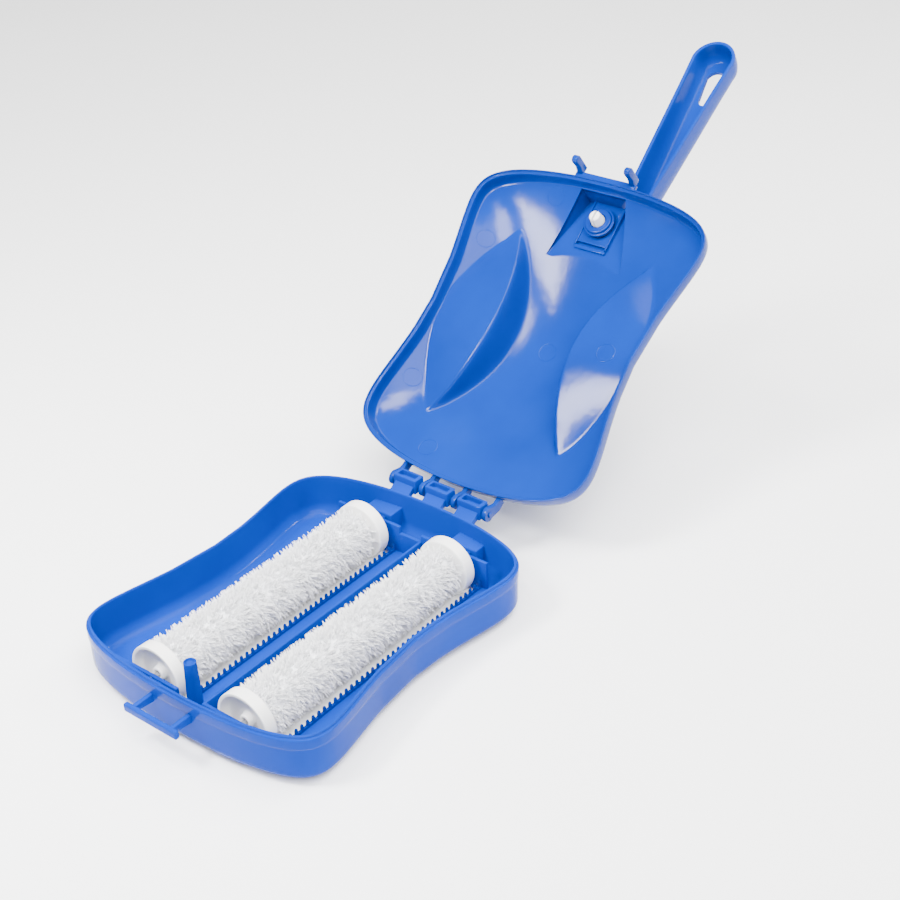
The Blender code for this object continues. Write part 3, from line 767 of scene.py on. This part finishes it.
def pad_level(p, lift=0.0):
    return BASE + np.maximum(PAD_H, height(p[:, 0], p[:, 1])) + lift


def pad_ring(s, lift, grow=0.0):
    p = PC + (pad_outline(grow) - PC) * s
    return np.c_[p, pad_level(p, lift)]


pg = pad_outline(1.5)
foot_in = np.c_[po, BASE + height(po[:, 0], po[:, 1]) - 0.02]
foot_out = np.c_[pg, BASE + height(pg[:, 0], pg[:, 1]) + 0.9]
ps = np.linspace(0.03, 1.0, 26)
wall = [np.c_[po, foot_in[:, 2] + (pad_ring(1.0, 0.0)[:, 2] - foot_in[:, 2]) * t] for t in (0.85, 0.5, 0.2, 0.0)]
pl = [pad_ring(k, 0.0) for k in ps[:-1]] + [pad_ring(0.985, 0.0)] + wall + [foot_out]
pl += [np.c_[pg, np.maximum(pad_level(pg, LID_T - 0.5), foot_out[:, 2] + 0.05)]] + [pad_ring(k, LID_T, 1.2) for k in ps[::-1]]
pad = build("pad_pocket", *loft(pl), lid_shaded_blue_mat, None, None, place=opened, angle=40)
a = np.linspace(0, 2 * np.pi, 64, endpoint=False)
cut(pad, loft([np.c_[PIN_X + 7.9 * np.cos(a), 7.9 * np.sin(a), np.full(64, z)] for z in (PAD_Z - 3.0, PAD_Z + 4.0)]), place=opened)
finish_shade(pad, 40)
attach(pad, "lid")

# hinge arms with round eyes
for i, ya in enumerate((-25.4, -8.75, 8.75, 25.4)):
    eye = [(HINGE_X + 3.3 * math.cos(q), HINGE_Z + 3.3 * math.sin(q)) for q in np.radians(np.linspace(-150, 90, 17))]
    poly = [(75.2, BASE + 1.2), (78.6, BASE + 0.5)] + eye + [(79.5, BASE + 5.0), (75.2, BASE + 5.4)]
    on_lid(f"hinge_arm_{i + 1}", prism(poly, "Y", ya - 1.1, ya + 1.1), 0.3)

# latch bar and prongs
on_lid("latch_lip", box(-79.9, -75.6, -15.9, 15.9, BASE + 0.7, BASE + 2.9), 0.4)
for side, word in ((1, "left"), (-1, "right")):
    tip = [(-83.2, BASE + 2.4)]
    tip += [(-81.3 + 1.9 * math.cos(q), 14.2 + 1.9 * math.sin(q)) for q in np.radians(np.linspace(180, 360, 11))]
    tip += [(-79.7, BASE - 3.0), (-79.2, BASE - 1.0), (-78.4, BASE + 1.1), (-78.4, BASE + 2.4)]
    on_lid(f"latch_prong_{word}", prism(tip, "Y", side * 13.8 - 1.5, side * 13.8 + 1.5), 0.55, segments=4)

# plate round the handle hole
n = 96
q = np.linspace(0, 2 * np.pi, n, endpoint=False)
cx0, hx, hy = -64.3, 11.2, 8.3


def rect_at(q, grow=0.0):
    """Rounded rectangle as a superellipse about the hole's centre line."""
    c, s = np.cos(q), np.sin(q)
    p = 12.0
    r = (np.abs(c / (hx + grow)) ** p + np.abs(s / (hy + grow)) ** p) ** (-1 / p)
    return np.c_[cx0 + r * c, r * s]


hole = np.c_[PIN_X + 6.7 * np.cos(q), 6.7 * np.sin(q)]
ring_loops = [at_z(rect_at(q, 0.25), PAD_Z + 0.3), at_z(rect_at(q, 0.2), PAD_Z - 0.9), at_z(rect_at(q, -0.05), PAD_Z - 1.2),
              at_z(rect_at(q, -0.3), PAD_Z - 1.3), at_z(hole, PAD_Z - 1.3), at_z(hole, PAD_Z + 0.3)]
v, f = loft(ring_loops, closed_ends=False)
i0 = np.arange(n)
f += np.c_[i0, (len(ring_loops) - 1) * n + i0, (len(ring_loops) - 1) * n + (i0 + 1) % n, (i0 + 1) % n].tolist()
on_lid("pad_plate", (v, f), 0.0, angle=40)
on_lid("pad_rib", box(-51.3, -49.6, -8.2, 8.2, PAD_Z - 1.1, PAD_Z + 0.3), 0.35)
on_lid("pad_step_left", box(-75.2, -51.3, 7.6, 8.5, PAD_Z - 1.9, PAD_Z - 1.0), 0.25)
on_lid("pad_step_right", box(-75.2, -51.3, -8.5, -7.6, PAD_Z - 1.9, PAD_Z - 1.0), 0.25)
on_lid("pad_step_end", box(-53.4, -52.6, -8.5, 8.5, PAD_Z - 1.9, PAD_Z - 1.0), 0.25)


# ejector marks, thin rings that follow the surface
def ejector(name, x, y, r=4.2, w=0.26, hgt=0.10):
    m = 72
    q = np.linspace(0, 2 * np.pi, m, endpoint=False)
    rows = []
    for dr, dz in ((-w, 0.12), (-w * 0.5, -hgt), (w * 0.5, -hgt), (w, 0.12)):
        px, py = x + (r + dr) * np.cos(q), y + (r + dr) * np.sin(q)
        rows.append(np.c_[px, py, BASE + height(px, py) + dz])
    v, f = loft(rows, closed_ends=False)
    k = np.arange(m)
    f += np.c_[k, 3 * m + k, 3 * m + (k + 1) % m, (k + 1) % m].tolist()
    on_lid(name, (v, f), 0.0, angle=60)


for i, (x, y) in enumerate(((-68, 24), (-39, 49), (36, 49), (0, 0), (-2, -38), (64, 24))):
    ejector(f"ejector_ring_{i + 1}", x, y)

# ---- collar and pin ----
prof = [(TIP_Z + 4.9, 3.6), (TIP_Z + 4.9, 6.2), (TIP_Z + 6.3, 6.4), (TIP_Z + 6.3, 7.4), (TIP_Z + 7.6, 7.4),
        (TIP_Z + 8.4, 5.4), (PAD_Z + 1.9, 5.4), (PAD_Z + 1.9, 3.1), (TIP_Z + 6.6, 3.1), (TIP_Z + 6.6, 3.6)]
ob = build("pivot_collar", *turned(fillet(prof, [0.4, 0.7, 0.25, 0.5, 0.6, 0.4, 0, 0, 0.2, 0.2]), 72, "Z", (PIN_X, 0, 0)),
           small_blue, "handle", "collar_blue", place=opened)
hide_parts("pin_collar")

lv = [(TIP_Z, 1.6), (TIP_Z + 0.12, 2.0), (TIP_Z + 0.6, 2.55), (TIP_Z + 4.6, 3.15), (TIP_Z + 5.0, 3.25), (TIP_Z + 5.4, 3.25),
      (TIP_Z + 5.7, 3.1), (TIP_Z + 6.1, 2.6), (PAD_Z + 14.0, 2.6)]
pin = build("split_snap_pin", *stack(lv, 56, (PIN_X, 0)), pin_white, None, None, place=opened, angle=40)
cut(pin, box(PIN_X - 5, PIN_X + 5, -0.5, 0.5, TIP_Z - 1, TIP_Z + 6.5), place=opened)
finish_shade(pin, 40)
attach(pin, "handle")
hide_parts("handle_pin")


# ---- handle ----
def lip_z(x):
    return 52.7 + 0.0613 * np.maximum(0.0, -80.0 - x)


def top_z(x):
    return 69.0 + 0.03 * np.maximum(0.0, -80.0 - x)


KN = [(-180, 11.2), (-167, 11.0), (-155, 10.1), (-136, 9.1), (-114, 7.9), (-93, 6.7), (-72, 7.8), (-56, 8.6)]
xs = np.linspace(-185, -50, 271)
hw = np.interp(xs, [k[0] for k in KN], [k[1] for k in KN])
kern = np.exp(-0.5 * (np.arange(-14, 15) / 6.0) ** 2)
kern /= kern.sum()
hw = np.convolve(np.pad(hw, 14, mode="edge"), kern, mode="valid")


def half_at(x):
    return np.interp(x, xs, hw)


def handle_loop(off, hfun, drop, n_arc=40, n_side=60):
    r0, r1 = 11.2 - off, 8.2 - off
    a = np.linspace(math.pi / 2, 3 * math.pi / 2, n_arc)
    left = np.c_[HANDLE_TIP_X + 11.2 + r0 * np.cos(a), r0 * np.sin(a)]
    sx = np.linspace(HANDLE_TIP_X + 13.5, PIN_X - 1.5, n_side)
    b = np.linspace(-math.pi / 2, math.pi / 2, n_arc)
    right = np.c_[PIN_X + r1 * np.cos(b), r1 * np.sin(b)]
    low = np.c_[sx, -(half_at(sx) - off)]
    p = np.vstack([left, low, right, np.c_[sx[::-1], half_at(sx[::-1]) - off]])
    return np.c_[p, hfun(p[:, 0]) - drop]


outer = [(5.6, 0.0), (4.6, 0.06), (3.7, 0.35), (2.8, 0.9), (2.0, 1.7), (1.4, 2.8), (0.95, 4.2), (0.6, 6.0), (0.35, 8.0), (0.2, 10.0)]
hl = [handle_loop(o, top_z, d) for o, d in outer]
hl += [handle_loop(o, lip_z, -d) for o, d in ((0.05, 1.2), (0.02, 0.5), (0.1, 0.18), (0.35, 0.03), (0.7, 0.0), (1.1, 0.0), (1.45, 0.05),
                                              (1.65, 0.25), (1.75, 0.7), (1.85, 2.0))]
inner = [(2.0, 8.5), (2.2, 7.0), (2.5, 5.6), (3.0, 4.4), (3.6, 3.4), (4.3, 2.7), (5.1, 2.25), (5.9, 2.05)]
hl += [handle_loop(o, top_z, d) for o, d in inner]
handle = build("handle_channel", *loft(hl), handle_mat, None, None, place=opened, angle=40)
wide, narrow = (-165.4, 4.8), (-153.4, 3.0)
sl = [(wide[0] + wide[1] * math.cos(t), wide[1] * math.sin(t)) for t in np.radians(np.linspace(99, 261, 22))]
sl += [(narrow[0] + narrow[1] * math.cos(t), narrow[1] * math.sin(t)) for t in np.radians(np.linspace(-81, 81, 16))]
cut(handle, prism(sl, "Z", float(top_z(-160)) - 6, float(top_z(-160)) + 3), place=opened)
finish_shade(handle, 40)
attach(handle, "handle")
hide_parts("handle")
foot = fillet([(PAD_Z + LID_T + 0.45, 3.0), (PAD_Z + LID_T + 0.45, 7.6), (float(top_z(PIN_X)) - 2.0, 7.4), (float(top_z(PIN_X)) - 2.0, 3.0)],
              [0, 0.5, 0.3, 0])
build("handle_foot", *turned(foot, 64, "Z", (PIN_X, 0, 0)), handle_mat, "handle", "handle_blue", place=opened)

# ---- stage ----
lo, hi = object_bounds()
floor_z = lo[2]


def studio(name, colour, rough):
    m, t, b = nodes_of(name)
    n = noise(t, 6.0, 2.0)
    r = ramp(t, n.outputs["Fac"], [(0.3, tuple(c * 0.99 for c in colour)), (0.7, colour)])
    link(t, r.outputs["Color"], b.inputs["Base Color"])
    b.inputs["Roughness"].default_value = rough
    b.inputs["Specular IOR Level"].default_value = 0.2
    return m


me = bpy.data.meshes.new("studio_floor")
R = 6.0
me.from_pydata([(-R, -R, floor_z), (R, -R, floor_z), (R, R, floor_z), (-R, R, floor_z)], [], [(0, 1, 2, 3)])
floor = bpy.data.objects.new("studio_floor", me)
bpy.context.scene.collection.objects.link(floor)
me.materials.append(studio("floor_white", (0.96, 0.96, 0.96), 0.6))

world = bpy.data.worlds.new("studio_world")
world.use_nodes = True
bg = world.node_tree.nodes["Background"]
bg.inputs["Color"].default_value = (1.0, 1.0, 1.0, 1)
bg.inputs["Strength"].default_value = 0.3
bpy.context.scene.world = world


def area(name, place, target, size, power, colour=(1, 1, 1)):
    li = bpy.data.lights.new(name, "AREA")
    li.shape, li.size, li.size_y = "RECTANGLE", size[0], size[1]
    li.energy, li.color = power, colour
    ob = bpy.data.objects.new(name, li)
    ob.location = place
    d = Vector(target) - Vector(place)
    ob.rotation_euler = d.to_track_quat("-Z", "Y").to_euler()
    bpy.context.scene.collection.objects.link(ob)
    return ob




def aim(name, p, az, el, dist, size, radiance):
    """Soft box seen from point p (mm) in the direction az, el, with the given radiance."""
    a, e = math.radians(az), math.radians(el)
    d = Vector((math.cos(e) * math.cos(a), math.cos(e) * math.sin(a), math.sin(e)))
    c = Vector(p) * MM
    area(name, c + d * dist, c, size, radiance * math.pi * size[0] * size[1])


mid = (80, 0, 40)
aim("key_front", mid, -128, 54, 2.3, (1.8, 1.8), 14.0)
aim("top_soft", mid, -60, 66, 2.0, (1.1, 1.1), 9.0)
aim("far_floor", (350, 350, 0), -40, 78, 2.2, (1.5, 1.5), 6.0)
aim("strip_tray_line", (0, 45, 8), -27, 40, 0.9, (0.09, 0.09), 130.0)
aim("strip_upper_left", (203, 38, 108), 164, 37, 0.6, (0.13, 0.15), 110.0)
aim("box_right_grip", (146, -35, 65), 142, 47, 0.6, (0.035, 0.035), 48.0)
aim("box_lower_left", (116, 48, 36), 176, 66, 0.6, (0.12, 0.09), 60.0)

# ---- camera ----
target = Vector((0.07672, -0.01203, 0.05130))
back = Vector((-0.6658, -0.5336, 0.5215)).normalized()
right = Vector((0.6254, -0.7803, 0.0)).normalized()
up = back.cross(right).normalized()
roll = -0.0321
r2 = right * math.cos(roll) + up * math.sin(roll)
u2 = up * math.cos(roll) - right * math.sin(roll)
cam_data = bpy.data.cameras.new("camera")
cam = bpy.data.objects.new("camera", cam_data)
rot = Matrix((r2, u2, back)).transposed().to_4x4()
cam.matrix_world = Matrix.Translation(target + back * 0.6412) @ rot
cam_data.sensor_width = 36.0
cam_data.lens = 61.87
cam_data.clip_end = 50
bpy.context.scene.collection.objects.link(cam)
bpy.context.scene.camera = cam
